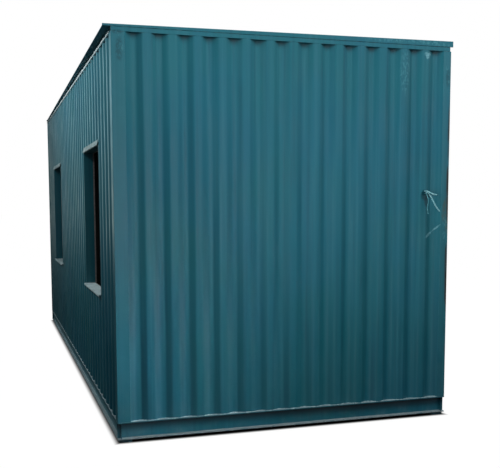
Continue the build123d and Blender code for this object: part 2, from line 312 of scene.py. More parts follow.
class Look(Nodes):
    """A material."""

    def __init__(self, name):
        self.material = bpy.data.materials.new(name)
        self.material.use_nodes = True
        super().__init__(self.material.node_tree, "Object")
        self.shader = self.tree.nodes["Principled BSDF"]

    def noise(self, scale, stretch=(1, 1, 1), detail=3.0, seed=0.0):
        """Cloudy values about one half; stretch holds the scale of each axis."""
        moved = self.node("ShaderNodeMapping")
        self.feed(moved.inputs["Vector"], self.place)
        moved.inputs["Location"].default_value = (seed, seed, seed)
        moved.inputs["Scale"].default_value = stretch
        cloud = self.node("ShaderNodeTexNoise")
        self.feed(cloud.inputs["Vector"], moved.outputs["Vector"])
        cloud.inputs["Scale"].default_value = scale
        cloud.inputs["Detail"].default_value = detail
        return cloud.outputs["Fac"]

    def spot(self, middle, size, turn=0.0):
        """A patch with a soft rim: 1 in its middle, 0 outside; size holds its half sizes."""
        local = self.node("ShaderNodeMapping", vector_type="TEXTURE")
        self.feed(local.inputs["Vector"], self.place)
        local.inputs["Location"].default_value = middle
        local.inputs["Rotation"].default_value = (0, turn, 0)
        local.inputs["Scale"].default_value = size
        reach = self.node("ShaderNodeVectorMath", operation="LENGTH")
        self.feed(reach.inputs[0], local.outputs["Vector"])
        return self.ease(reach.outputs["Value"], SPOT_CORE_SHARE, 1.0, 1.0, 0.0)

    def upward(self):
        """How far a face looks up: 1 on top, 0 on a wall."""
        normal = self.node("ShaderNodeNewGeometry").outputs["Normal"]
        return self.axis(normal, "Z")

    def mark(self, name):
        """A value stored on the mesh."""
        return self.node("ShaderNodeAttribute", attribute_name=name).outputs["Fac"]

    def bump(self, height, strength, distance):
        made = self.node("ShaderNodeBump")
        made.inputs["Strength"].default_value = strength
        made.inputs["Distance"].default_value = distance
        self.feed(made.inputs["Height"], height)
        self.feed(self.shader.inputs["Normal"], made.outputs["Normal"])

    def finish(self, color, roughness):
        self.feed(self.shader.inputs["Base Color"], color)
        self.feed(self.shader.inputs["Roughness"], roughness)
        return self.material


# Enamel, dust, dirt, wear and painted shade
TEAL = (0.0060, 0.105, 0.153)
TEAL_GREEN = (0.0070, 0.111, 0.143)
TEAL_BLUE = (0.0085, 0.100, 0.165)
TEAL_DARK = (0.0045, 0.066, 0.100)
TEAL_CHALK = (0.030, 0.150, 0.195)
DUST = (0.33, 0.40, 0.42)
WORN = (0.17, 0.27, 0.30)
CHIPPED = (0.17, 0.39, 0.45)
SCUFFED = (0.060, 0.240, 0.285)
# Near-black teal: grime on the dark weld patches, and painted shade at the recess tops, round the gland and
# on the foot plates
GRIME_AND_PAINTED_SHADE = (0.0015, 0.014, 0.022)
# Painted shade on the base channels' webs under their upper flanges
FLANGE_PAINTED_SHADE = (0.0006, 0.005, 0.011)
LIP = (0.26, 0.32, 0.34)
DIRT = (0.060, 0.085, 0.088)
STAIN = (0.055, 0.080, 0.070)
EDGE_DIRT = (0.016, 0.015, 0.015)
DECK_DIRT = (0.09, 0.075, 0.06)

# Dark and pale shade of each other material
SILL_SHADES = ((0.43, 0.56, 0.58), (0.60, 0.76, 0.79))
DRIP_SHADES = ((0.17, 0.22, 0.22), (0.25, 0.31, 0.31))
BARE_PLY_SHADES = ((0.17, 0.155, 0.155), (0.26, 0.235, 0.23))
# Board film: dark brown, made near black as painted shade of the interior
FILM_AND_PAINTED_SHADE = ((0.014, 0.011, 0.010), (0.032, 0.025, 0.022))
DECK_SHADES = ((0.16, 0.10, 0.055), (0.25, 0.17, 0.10))
PRIMER_SHADES = ((0.085, 0.028, 0.018), (0.16, 0.065, 0.030))
# Gland: the wall's teal darkened, as painted shade at the cable entry
GLAND_SHADES = ((0.004, 0.045, 0.066), (0.010, 0.080, 0.110))
CABLE_SHADES = ((0.15, 0.37, 0.42), (0.27, 0.47, 0.51))
THIN_CABLE_SHADES = ((0.07, 0.25, 0.30), (0.14, 0.34, 0.38))
WELD_SHADES = ((0.16, 0.29, 0.33), (0.42, 0.57, 0.61))
LONG_WELD_SHADES = ((0.40, 0.52, 0.56), (0.75, 0.86, 0.89))
# Rail seams: pale sealant, made paler still as a painted highlight of the rails' lit lip
SEAM_HIGHLIGHT_SHADES = ((0.58, 0.74, 0.78), (0.82, 0.92, 0.95))

# Marks on the front end, placed by the photograph: place along X, height, half width, half height, turn
SCUFFS = [
    (0.865, 2.500, 0.050, 0.190, 0.0),
    (1.200, 2.541, 0.014, 0.022, 0.0),
    (1.214, 2.444, 0.011, 0.020, 0.0),
    (0.960, 2.714, 0.260, 0.016, 0.0),
    (1.120, 2.703, 0.130, 0.014, 0.02),
    (0.700, 2.708, 0.200, 0.012, 0.0),
    (1.198, 1.345, 0.018, 0.070, 0.0),
    (1.205, 1.440, 0.022, 0.060, 0.0),
    (-1.160, 2.640, 0.016, 0.014, 0.0),
    (-1.135, 2.560, 0.012, 0.030, 0.0),
]
CHIPS = [
    (1.031, 2.631, 0.020, 0.016, 0.0),
    (1.054, 2.630, 0.018, 0.014, 0.0),
    (1.042, 2.612, 0.017, 0.020, 0.0),
    (1.0815, 1.348, 0.052, 0.013, -0.60),
    (1.1400, 1.394, 0.050, 0.008, -0.72),
]
DARK_WELDS = [
    (-1.155, 2.550, 0.030, 0.095, 0.0),
    (-1.165, 2.655, 0.040, 0.020, 0.0),
    (1.208, 2.470, 0.020, 0.080, 0.0),
]
# Painted shadow of the cable tails on the wall round the gland
GLAND_PAINTED_SHADOW = [
    (1.040, 1.632, 0.046, 0.046, 0.0),
    (1.088, 1.624, 0.040, 0.014, 0.1),
    (1.052, 1.590, 0.022, 0.050, 0.0),
]
STAINS = [
    (1.205, 1.530, 0.030, 0.110, 0.15),
    (1.222, 1.420, 0.018, 0.080, 0.0),
]
DIRTY_EDGE = (RIGHT_X, 1.380, 0.027, 1.330, 0.0)

# Half depth of a mark, and the share of its size within which it is full
MARK_DEPTH = 0.06
SPOT_CORE_SHARE = 0.55

# Reach of the painted shade at the top of the walls' recesses, under the top rail, the long walls' share of
# it, and reach of the painted shade on the base channels' webs under their upper flanges
RECESS_SHADE_REACH = 0.055
LONG_RECESS_SHADE_SHARE = 0.3
FLANGE_SHADE_REACH = 0.085

# Height of a base channel's flange, and of the blends at the edges of the upper and the lower one
FLANGE_DEPTH = 0.009
FLANGE_BLEND = 0.002
LIP_BLEND = 0.003

# Heights over the base that splashed dust reaches
WALL_DUST_HEIGHT = 0.45
LOW_DUST_HEIGHT = 0.06

# Roughness of the enamel where it is glossy and where it is chalky, and on undersides
ENAMEL_ROUGHNESS = (0.28, 0.40)
UNDERSIDE_ROUGHNESS = 0.75


def on_front(look, mark):
    """The share of a mark on the front end."""
    x, z, half_width, half_height, turn = mark
    return look.spot((x, FRONT_Y, z), (half_width, MARK_DEPTH, half_height), turn)


def front_marks(look, color):
    """Scuffs, chips, stains, dark weld patches, painted shadow of the cables round the gland and the dark
    edge of the front end.
    """
    speckle = look.noise(75.0, stretch=(1, 1, 0.6), detail=6.0, seed=7.5)
    broken = look.ease(speckle, 0.46, 0.60)
    mottled = look.ease(speckle, 0.34, 0.54)
    # Painted shadow of the cable tails round the gland
    for mark in GLAND_PAINTED_SHADOW:
        color = look.mix(look.math("MULTIPLY", on_front(look, mark), 0.55), color, GRIME_AND_PAINTED_SHADE)
    kinds = (
        (GRIME_AND_PAINTED_SHADE, DARK_WELDS, mottled, 0.42),
        (STAIN, STAINS, mottled, 0.7),
        (SCUFFED, SCUFFS, broken, 0.45),
    )
    for kind, marks, patchy, share in kinds:
        for mark in marks:
            cover = look.math("MULTIPLY", on_front(look, mark), patchy)
            color = look.mix(look.math("MULTIPLY", cover, share), color, kind)
    ragged = look.ease(look.noise(70.0, detail=4.0, seed=1.9), 0.36, 0.52, 0.25, 0.6)
    for mark in CHIPS:
        color = look.mix(look.math("MULTIPLY", on_front(look, mark), ragged), color, CHIPPED)
    gaps = look.ease(look.noise(1.0, stretch=(20, 20, 3.0), detail=4.0, seed=9.1), 0.40, 0.52)
    return look.mix(look.math("MULTIPLY", on_front(look, DIRTY_EDGE), gaps), color, EDGE_DIRT)


def flange_shade_and_wear(look, color):
    """Painted shade on the base channels' webs under their upper flanges, and rubbed paint on their lower
    flanges.
    """
    height = look.axis(look.place, "Z")
    flange_foot = BASE_TOP - FLANGE_DEPTH
    # Painted shade on the web under the upper flange, stopping at the flange's edge
    under = look.ease(height, BASE_TOP - FLANGE_SHADE_REACH, flange_foot)
    edge = look.ease(height, flange_foot, flange_foot + FLANGE_BLEND, 1.0, 0.0)
    color = look.mix(look.math("MULTIPLY", under, edge), color, FLANGE_PAINTED_SHADE)
    lip_top = BASE_BOTTOM + FLANGE_DEPTH
    lip = look.ease(height, lip_top, lip_top + LIP_BLEND, 1.0, 0.0)
    worn = look.ease(look.noise(14.0, detail=5.0, seed=5.2), 0.32, 0.55, 0.25, 0.95)
    return look.mix(look.math("MULTIPLY", lip, worn), color, LIP)


def roof_dirt(look, color):
    """Blotches of dirt and pools of dried dust on the roof."""
    flat = look.ease(look.upward(), 0.5, 0.95)
    blotches = look.ease(look.noise(1.7, detail=7.0, seed=3.7), 0.42, 0.68, 0.0, 0.55)
    color = look.mix(look.math("MULTIPLY", flat, blotches), color, DIRT)
    pools = look.ease(look.noise(3.2, stretch=(1, 2.4, 1), detail=5.0, seed=6.1), 0.55, 0.72, 0.0, 0.35)
    return look.mix(look.math("MULTIPLY", flat, pools), color, DUST)


def enamel(name, dust_height, dust_share, top_dust_share, marks=None, chalk_share=0.16, rim_share=0.40):
    """Semi-gloss teal enamel, brushed on, with streaks, chalky patches, worn edges, dirt, dust and painted
    shade at the top of the sheets' recesses.
    """
    look = Look(name)
    broad = look.noise(1.3, detail=2.0)
    bands = look.noise(1.0, stretch=(13, 13, 0.7), detail=3.0, seed=4.4)
    runs = look.noise(1.0, stretch=(34, 34, 0.9), detail=3.0, seed=5.7)
    patches = look.noise(5.0, detail=5.0, seed=3.1)
    color = look.mix(look.ease(broad, 0.35, 0.65), TEAL, TEAL_GREEN)
    color = look.mix(look.ease(bands, 0.45, 0.70, 0.0, 0.3), color, TEAL_BLUE)
    color = look.mix(look.ease(runs, 0.48, 0.72, 0.0, 0.45), color, TEAL_DARK)
    strokes = look.noise(1.0, stretch=(52, 52, 0.9), detail=4.0, seed=2.9)
    color = look.mix(look.ease(strokes, 0.46, 0.72, 0.0, 0.34), color, TEAL_CHALK)
    color = look.mix(look.ease(patches, 0.45, 0.75, 0.4 * chalk_share, chalk_share), color, TEAL_CHALK)

    height = look.axis(look.place, "Z")
    # Painted shade at the top of each recess, under the top rail, deeper in the recess
    top = look.ease(height, SHEET_TOP - RECESS_SHADE_REACH, SHEET_TOP, 0.0, 0.55)
    color = look.mix(look.math("MULTIPLY", look.mark("recess"), top), color, GRIME_AND_PAINTED_SHADE)
    low = look.ease(height, BASE_TOP, BASE_TOP + dust_height, 1.0, 0.0)
    splash = look.ease(look.noise(9.0, detail=6.0, seed=8.2), 0.42, 0.75)
    dust = look.math("MULTIPLY", look.math("MULTIPLY", low, splash), dust_share)
    color = look.mix(dust, color, DUST)
    settled = look.ease(look.upward(), 0.5, 0.95, 0.0, top_dust_share)
    speckle = look.ease(look.noise(60.0, detail=3.0, seed=2.4), 0.25, 0.6, 0.55, 1.0)
    color = look.mix(look.math("MULTIPLY", settled, speckle), color, DUST)

    rubbed = look.ease(look.noise(22.0, detail=5.0, seed=6.6), 0.42, 0.62, 0.03, rim_share)
    color = look.mix(look.math("MULTIPLY", look.mark("rim"), rubbed), color, WORN)
    if marks:
        color = marks(look, color)

    brushed = look.noise(1.0, stretch=(180, 180, 9), detail=2.0, seed=1.3)
    grain = look.noise(240.0, detail=2.0)
    look.bump(look.math("ADD", brushed, grain), 0.10, 0.0012)
    matt = look.ease(look.upward(), -0.95, -0.60, UNDERSIDE_ROUGHNESS, 0.0)
    roughness = look.ease(patches, 0.3, 0.7, *ENAMEL_ROUGHNESS)
    return look.finish(color, look.math("MAXIMUM", roughness, matt))


def weld_paint(name, shades):
    """Painted weld beads and sealant, paler than the wall."""
    look = Look(name)
    patches = look.noise(70.0, detail=4.0)
    color = look.mix(look.ease(patches, 0.35, 0.65), *shades)
    look.bump(look.noise(300.0), 0.3, 0.001)
    return look.finish(color, 0.5)


def flashing(name, shades):
    """Pale dusty sheet metal at the windows."""
    look = Look(name)
    dark, pale = shades
    stains = look.noise(16.0, detail=5.0)
    color = look.mix(look.ease(stains, 0.35, 0.7), pale, dark)
    look.bump(look.noise(120.0, detail=4.0), 0.15, 0.001)
    return look.finish(color, look.ease(stains, 0.3, 0.7, 0.45, 0.65))


def film_board(name):
    """Plywood with a dark brown film on its faces, made near black as painted shade of the dim interior, and
    bare pale edges.
    """
    look = Look(name)
    plies = look.noise(1.0, stretch=(6, 6, 90), detail=4.0, seed=2.0)
    bare = look.mix(look.ease(plies, 0.35, 0.65), *BARE_PLY_SHADES)
    scuffs = look.noise(11.0, stretch=(1, 1, 0.35), detail=6.0, seed=4.0)
    film = look.mix(look.ease(scuffs, 0.45, 0.75), *FILM_AND_PAINTED_SHADE)
    look.bump(look.noise(200.0), 0.1, 0.0008)
    return look.finish(look.mix(look.mark("edge"), film, bare), 0.55)


def deck_ply(name):
    """Worn plywood floor."""
    look = Look(name)
    grain = look.noise(1.0, stretch=(70, 3, 40), detail=5.0)
    dirt = look.noise(5.0, detail=6.0, seed=6.0)
    color = look.mix(look.ease(grain, 0.35, 0.65), *DECK_SHADES)
    color = look.mix(look.ease(dirt, 0.45, 0.75, 0.0, 0.7), color, DECK_DIRT)
    look.bump(grain, 0.2, 0.001)
    return look.finish(color, 0.75)


def primer(name):
    """Matt red-brown primer with surface rust."""
    look = Look(name)
    rust = look.noise(18.0, detail=6.0)
    color = look.mix(look.ease(rust, 0.45, 0.7), *PRIMER_SHADES)
    look.bump(look.noise(150.0), 0.25, 0.001)
    return look.finish(color, 0.8)


def foot_dirt_and_shade(name):
    """Foot plates in near-black teal, partly dirt and partly painted shade under the cabin, with worn edges.
    """
    look = Look(name)
    dirt = look.noise(40.0, detail=5.0)
    # Near black: dirt and painted shade under the cabin
    color = look.mix(look.ease(dirt, 0.4, 0.7), GRIME_AND_PAINTED_SHADE, TEAL_DARK)
    rubbed = look.ease(dirt, 0.35, 0.6, 0.1, 0.6)
    color = look.mix(look.math("MULTIPLY", look.mark("rim"), rubbed), color, WORN)
    look.bump(look.noise(180.0), 0.3, 0.001)
    return look.finish(color, 0.7)


def gland_plastic(name):
    """Moulded plastic of the gland, painted over with the wall's enamel, coloured darker than it as painted
    shade at the cable entry.
    """
    look = Look(name)
    dust = look.noise(120.0, detail=4.0)
    color = look.mix(look.ease(dust, 0.45, 0.7), *GLAND_SHADES)
    look.bump(look.noise(500.0), 0.2, 0.0005)
    return look.finish(color, 0.5)


def sheath(name, shades):
    """Dusty blue-green cable sheath with paint on it."""
    look = Look(name)
    dirt = look.noise(90.0, detail=4.0)
    color = look.mix(look.ease(dirt, 0.4, 0.7), *shades)
    look.bump(look.noise(400.0), 0.2, 0.0006)
    return look.finish(color, 0.55)


looks = {
    "enamel": enamel("teal_enamel", WALL_DUST_HEIGHT, dust_share=0.05, top_dust_share=0.5),
    "front": enamel(
        "front_enamel", WALL_DUST_HEIGHT, dust_share=0.02, top_dust_share=0.5, marks=front_marks,
    ),
    "post": enamel(
        "post_enamel", WALL_DUST_HEIGHT, dust_share=0.05, top_dust_share=0.5, marks=front_marks,
        chalk_share=0.5, rim_share=0.10,
    ),
    "base_enamel": enamel(
        "base_enamel", LOW_DUST_HEIGHT, dust_share=0.10, top_dust_share=0.85, marks=flange_shade_and_wear,
    ),
    "foot": foot_dirt_and_shade("foot_dirt_and_shade"),
    "roof_enamel": enamel(
        "roof_enamel", LOW_DUST_HEIGHT, dust_share=0.0, top_dust_share=0.30, marks=roof_dirt,
    ),
    "primer": primer("primer"),
    "flashing": flashing("flashing", SILL_SHADES),
    "drip": flashing("drip_flashing", DRIP_SHADES),
    "board": film_board("film_board"),
    "deck": deck_ply("deck_ply"),
    "gland": gland_plastic("gland_plastic"),
    "cable": sheath("cable_sheath", CABLE_SHADES),
    "thin_cable": sheath("thin_cable_sheath", THIN_CABLE_SHADES),
}
weld_look = weld_paint("weld_paint", WELD_SHADES)
long_weld_look = weld_paint("long_weld_paint", LONG_WELD_SHADES)
# Pale sealant with a painted highlight of the rails' lit lip
seam_highlight_look = weld_paint("seam_sealant_with_painted_highlight", SEAM_HIGHLIGHT_SHADES)
slot_of = {row["node"]: row["material_slot"] for row in frame["record"]["subparts"]}

# Looks of the nodes whose finish differs from the rest of their slot
look_of = {node: "post" for node in slot_of if node.startswith("corner_post")}
look_of.update({node: "front" for node in ("front_wall", "top_rail_front", "roof_fascia_front")})
look_of.update({"foot_plates": "foot", "window_drips_left": "drip", "window_drips_right": "drip"})


def add_piece(name, mesh, slot, replaced=(), look=None):
    """Puts a finished mesh on the cabin, in place of the nodes that it stands for."""
    made = bpy.data.objects.new(name, mesh)
    scene.collection.objects.link(made)
    usual = look_of.get(replaced[0], slot) if replaced else slot
    mesh.materials.append(look or looks[usual])
    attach(made, "root")
    if replaced:
        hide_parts(*replaced)
    return made


def mesh_of(shape, name):
    """The mesh of a finished shape."""
    mesh = bpy.data.meshes.new(name)
    shape.to_mesh(mesh)
    shape.free()
    return mesh


def softened(node, radius, steps=NARROW_STEPS):
    """A copy of a plain piece with rounded edges, which stands for it."""
    shape = bmesh.new()
    shape.from_mesh(nodes[node].data)
    rim = shape.faces.layers.float.new("rim")
    bmesh.ops.remove_doubles(shape, verts=shape.verts, dist=SAME_PLACE)
    bmesh.ops.dissolve_limit(shape, angle_limit=FLAT_ANGLE, verts=shape.verts, edges=shape.edges)
    sharp = [e for e in shape.edges if len(e.link_faces) == 2 and e.calc_face_angle() > SHARP_ANGLE]
    rounded_faces = bmesh.ops.bevel(
        shape, geom=sharp, offset=radius, offset_type="OFFSET", segments=steps,
        profile=0.5, affect="EDGES", clamp_overlap=True,
    )["faces"]
    for face in rounded_faces:
        face.smooth = True
        face[rim] = 1.0
    name = node + "_rounded"
    return add_piece(name, mesh_of(shape, name), slot_of[node], [node])


def wave(span, depth, slope, low_flat, high_flat):
    """Corners of a ribbed line that starts and ends with a dip: pairs of place along it and depth."""
    dip = 2 * slope + low_flat
    count = round((span + high_flat) / (dip + high_flat))
    pitch = (span - dip) / (count - 1)
    line = []
    for i in range(count):
        start = i * pitch
        line += [(start, 0), (start + slope, depth), (start + slope + low_flat, depth), (start + dip, 0)]
    return line


def rounded(line, radius, steps):
    """The line with each corner eased by a curve that is close to an arc."""
    eased = [Vector(line[0])]
    for before, corner, after in zip(line, line[1:], line[2:]):
        corner = Vector(corner)
        into = (corner - Vector(before)).normalized()
        out = (Vector(after) - corner).normalized()
        reach = radius * math.tan(into.angle(out) / 2)
        for i in range(steps + 1):
            share = i / steps
            eased.append(corner - into * (reach * (1 - share) ** 2) + out * (reach * share ** 2))
    eased.append(Vector(line[-1]))
    return eased


def clipped(line, first, last):
    """The stretch of a line between two places along it."""
    kept = []
    for start, end in zip(line, line[1:]):
        for place in sorted((start.x, first, last, end.x)):
            inside = start.x <= place <= end.x and first <= place <= last
            if inside and end.x > start.x and (not kept or place - kept[-1].x > SAME_PLACE):
                kept.append(start.lerp(end, (place - start.x) / (end.x - start.x)))
    return kept


def spaced(line, step):
    """Points along a line about one step apart."""
    points = [line[0]]
    for start, end in zip(line, line[1:]):
        count = max(1, round((end - start).length / step))
        points += [start.lerp(end, (i + 1) / count) for i in range(count)]
    return points


wall_size = (RECESS_DEPTH, SLOPE_RUN, RECESS_FLAT, RIDGE_FLAT)
front_low, front_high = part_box("front_wall")
END_LINE = rounded(wave(front_high.x - front_low.x, *wall_size), END_BEND_RADIUS, BEND_STEPS)
LONG_START = FRONT_Y + POST_DEPTH
LONG_SPAN = BACK_Y - FRONT_Y - 2 * POST_DEPTH
LONG_LINE = rounded(wave(LONG_SPAN, *wall_size), LONG_BEND_RADIUS, BEND_STEPS)

# Places on each wall, from a place along its line, a depth behind its outer plane and a height
WALLS = {
    "front": lambda s, d, z: Vector((front_low.x + s, FRONT_Y + d, z)),
    "back": lambda s, d, z: Vector((front_low.x + s, BACK_Y - d, z)),
    "left": lambda s, d, z: Vector((LEFT_X + d, LONG_START + s, z)),
    "right": lambda s, d, z: Vector((RIGHT_X - d, LONG_START + s, z)),
}


def dent(wall, s, z):
    """How far a wall sheet is pushed in at a place."""
    seed = WALL_SEED_STEP * list(WALLS).index(wall)
    broad_depth, fine_depth = END_DENTS if wall in ENDS else LONG_DENTS
    broad = 1 + noise.noise(Vector((s * BROAD_DENT_SCALE[0], z * BROAD_DENT_SCALE[1], seed)))
    fine = 1 + noise.noise(Vector((s * FINE_DENT_SCALE[0], z * FINE_DENT_SCALE[1], seed + FINE_SEED_STEP)))
    edge = min(1.0, (z - BASE_TOP) / DENT_FADE, (SHEET_TOP - z) / DENT_FADE)
    return (broad * broad_depth + fine * fine_depth) * max(0.0, edge)


def closed_mesh(name, points, faces):
    """A closed mesh with all faces turned outwards and its bends shaded smooth."""
    mesh = bpy.data.meshes.new(name)
    mesh.from_pydata(points, [], faces)
    shape = bmesh.new()
    shape.from_mesh(mesh)
    bmesh.ops.recalc_face_normals(shape, faces=shape.faces)
    for face in shape.faces:
        face.smooth = True
    for edge in shape.edges:
        edge.smooth = len(edge.link_faces) == 2 and edge.calc_face_angle() < SMOOTH_ANGLE
    shape.to_mesh(mesh)
    shape.free()
    return mesh


def slab(points, faces, grid, depth_grid):
    """Adds a sheet with thickness: an outer grid of rows of points and the same grid one thickness deeper."""
    start = len(points)
    rows = len(grid)
    columns = len(grid[0])
    for row in grid + depth_grid:
        points.extend(row)

    def at(side, row, column):
        return start + (side * rows + row) * columns + column

    for side in (0, 1):
        for r in range(rows - 1):
            for c in range(columns - 1):
                faces.append((at(side, r, c), at(side, r, c + 1), at(side, r + 1, c + 1), at(side, r + 1, c)))
    for c in range(columns - 1):
        for r in (0, rows - 1):
            faces.append((at(0, r, c), at(0, r, c + 1), at(1, r, c + 1), at(1, r, c)))
    for r in range(rows - 1):
        for c in (0, columns - 1):
            faces.append((at(0, r, c), at(0, r + 1, c), at(1, r + 1, c), at(1, r, c)))


def corrugated(name, wall, line, stretches, replaced):
    """Corrugated sheets on one wall: each stretch is two places along the line and two heights."""
    points = []
    faces = []
    recess = []
    recess_shade_share = 1.0 if line is END_LINE else LONG_RECESS_SHADE_SHARE
    put = WALLS[wall]
    for first, last, bottom, top in stretches:
        part = clipped(line, first, last)
        rows = max(FEWEST_ROWS, round(SHEET_ROWS * (top - bottom) / (SHEET_TOP - BASE_TOP)))
        grids = []
        for depth in (0, SHEET_THICKNESS):
            grid = []
            for r in range(rows + 1):
                z = bottom + (top - bottom) * r / rows
                grid.append([put(p.x, p.y + depth + dent(wall, p.x, z), z) for p in part])
            grids.append(grid)
            # Each point's share of the painted shade at the recess tops: its depth in the recess, less on the
            # long walls
            recess += [p.y / RECESS_DEPTH * recess_shade_share for p in part] * (rows + 1)
        slab(points, faces, *grids)
    mesh = closed_mesh(name, points, faces)
    mesh.attributes.new("recess", "FLOAT", "POINT").data.foreach_set("value", recess)
    add_piece(name, mesh, "enamel", replaced)


def openings_of(side):
    """The frames in a long wall, in order from the front, as low and high corners."""
    names = ["window_frame_" + side + "_front", "window_frame_" + side + "_back"]
    if side == "right":
        names.insert(1, "door_frame")
    return [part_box(name) for name in names]


def split(frames, first, last, foot, top):
    """A long wall round its openings: piers, pieces under the windows and pieces over the openings."""
    starts = [first] + [f[1] for f in frames]
    ends = [f[0] for f in frames] + [last]
    return {
        "piers": [(a, b, foot, top) for a, b in zip(starts, ends)],
        "under_windows": [(a, b, foot, sill) for a, b, sill, head in frames if sill > DOOR_FOOT],
        "over_openings": [(a, b, head, top) for a, b, sill, head in frames],
    }


def make_walls():
    """Corrugated sheets of the four walls."""
    for wall in ENDS:
        stretch = (0, END_LINE[-1].x, BASE_TOP, SHEET_TOP)
        corrugated(wall + "_wall_sheet", wall, END_LINE, [stretch], [wall + "_wall"])
    for side in SIDES:
        frames = [(low.y - LONG_START, high.y - LONG_START, low.z, high.z) for low, high in openings_of(side)]
        for part, stretches in split(frames, 0, LONG_SPAN, BASE_TOP, SHEET_TOP).items():
            node = side + "_wall_" + part
            corrugated(node + "_sheet", side, LONG_LINE, stretches, [node])


def add_bead(points, faces, route, radius):
    """Adds an uneven round bead along a route."""
    start = len(points)
    last = len(route) - 1
    for i, middle in enumerate(route):
        ahead = route[min(i + 1, last)] - route[max(i - 1, 0)]
        side = ahead.cross(UP).normalized()
        lift = side.cross(ahead).normalized()
        lumps = sum(share * noise.noise(middle * scale) for share, scale in BEAD_LUMPS)
        swell = radius * (BEAD_MEAN_SHARE + lumps)
        for k in range(BEAD_SIDES):
            angle = 2 * math.pi * k / BEAD_SIDES
            points.append(middle + (side * math.cos(angle) + lift * math.sin(angle)) * swell)
    for i in range(last):
        for k in range(BEAD_SIDES):
            a = start + i * BEAD_SIDES + k
            b = start + i * BEAD_SIDES + (k + 1) % BEAD_SIDES
            faces.append((a, b, b + BEAD_SIDES, a + BEAD_SIDES))
    faces.append(tuple(start + k for k in range(BEAD_SIDES)))
    faces.append(tuple(start + last * BEAD_SIDES + k for k in range(BEAD_SIDES)))


def make_welds():
    """Weld beads at the foot of each wall sheet, along its bends."""
    inset = BEAD_RADIUS * BEAD_INSET_SHARE
    level = BASE_TOP + BEAD_RADIUS * BEAD_RISE_SHARE
    for wall, put in WALLS.items():
        line = END_LINE if wall in ENDS else LONG_LINE
        stretches = [(0, line[-1].x)]
        if wall == "right":
            door_low, door_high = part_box("door_frame")
            stretches = [(0, door_low.y - LONG_START), (door_high.y - LONG_START, line[-1].x)]
        points = []
        faces = []
        for first, last in stretches:
            part = spaced(clipped(line, first, last), BEAD_STEP)
            add_bead(points, faces, [put(p.x, p.y + inset, level) for p in part], BEAD_RADIUS)
        name = wall + "_wall_foot_weld"
        look = weld_look if line is END_LINE else long_weld_look
        add_piece(name, closed_mesh(name, points, faces), "enamel", look=look)


def make_rail_seams():
    """Seams along the outer edges of the side rails, in pale sealant made paler still as a painted highlight
    of the rails' lit lip.
    """
    for side, x in (("left", LEFT_X), ("right", RIGHT_X)):
        low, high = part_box("top_rail_" + side)
        ends = [Vector((x, low.y, SHEET_TOP + SEAM_RISE)), Vector((x, high.y, SHEET_TOP + SEAM_RISE))]
        points = []
        faces = []
        add_bead(points, faces, spaced(ends, SEAM_STEP), SEAM_RADIUS)
        name = side + "_rail_seam"
        add_piece(name, closed_mesh(name, points, faces), "enamel", look=seam_highlight_look)


def rib_share(reach):
    """How much of its full depth a roof rib has at a distance from the sheet's edge."""
    share = min(1.0, max(0.0, (reach - ROOF_FLAT_EDGE) / ROOF_RIB_RISE))
    return share * share * (3 - 2 * share)


def make_roof():
    """The stamped roof sheet, falling to the left, with flat margins and its left edge cut askew."""
    low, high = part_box("roof_sheet")
    front_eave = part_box("roof_fascia_front")[0].x
    back_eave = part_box("roof_fascia_back")[0].x
    ribs = wave(high.y - low.y, ROOF_RIB_DEPTH, ROOF_RIB_SLOPE, ROOF_RIB_FLAT, ROOF_VALLEY_FLAT)
    line = rounded(ribs, ROOF_BEND_RADIUS, BEND_STEPS)
    fall = ROOF_FALL / (RIGHT_X - LEFT_X)

    def point(p, share, thickness):
        y = low.y + p.x
        edge = front_eave + (back_eave - front_eave) * (y - FRONT_Y) / (BACK_Y - FRONT_Y)
        x = edge + (high.x - edge) * share
        rib = p.y * rib_share(min(x - edge, high.x - x))
        return Vector((x, y, RAIL_TOP + fall * (x - LEFT_X) + rib + thickness))

    margin_share = (ROOF_FLAT_EDGE + ROOF_RIB_RISE) / (high.x - low.x)
    margin = [margin_share * i / ROOF_EDGE_ROWS for i in range(ROOF_EDGE_ROWS)]
    inner = [margin[-1] + (1 - 2 * margin[-1]) * i / ROOF_ROWS for i in range(1, ROOF_ROWS)]
    shares = margin + inner + [1 - m for m in reversed(margin)]
    grids = []
    for thickness in (0, SHEET_THICKNESS):
        grids.append([[point(p, share, thickness) for p in line] for share in shares])
    points = []
    faces = []
    slab(points, faces, *grids)
    name = "roof_ribbed_sheet"
    add_piece(name, closed_mesh(name, points, faces), "roof_enamel", ["roof_sheet"])


def add_board(shape, low, high):
    """Adds a board with eased edges."""
    size = high - low
    middle = Matrix.Translation((low + high) / 2) @ Matrix.Diagonal((*size, 1))
    made = bmesh.ops.create_cube(shape, size=1, matrix=middle)["verts"]
    edges = list({e for v in made for e in v.link_edges})
    bmesh.ops.bevel(
        shape, geom=edges, offset=BOARD_EDGE, segments=NARROW_STEPS,
        profile=0.5, affect="EDGES", clamp_overlap=True,
    )


def boarded(name, boxes, run, thin, slot, replaced):
    """Boards that fill boxes, laid side by side along one axis; their thin sides are marked as bare edges."""
    shape = bmesh.new()
    edge = shape.faces.layers.float.new("edge")
    for low, high in boxes:
        length = high[run] - low[run]
        count = max(1, math.ceil(length / BOARD_WIDTH - BOARD_SPARE_SHARE))
        for i in range(count):
            first = low.copy()
            last = high.copy()
            first[run] = low[run] + length * i / count + (BOARD_GAP / 2 if i else 0)
            last[run] = low[run] + length * (i + 1) / count - (BOARD_GAP / 2 if i < count - 1 else 0)
            add_board(shape, first, last)
    for face in shape.faces:
        face.normal_update()
        face[edge] = 0.0 if abs(face.normal[thin]) > FILM_FACE_SHARE else 1.0
    add_piece(name, mesh_of(shape, name), slot, replaced)


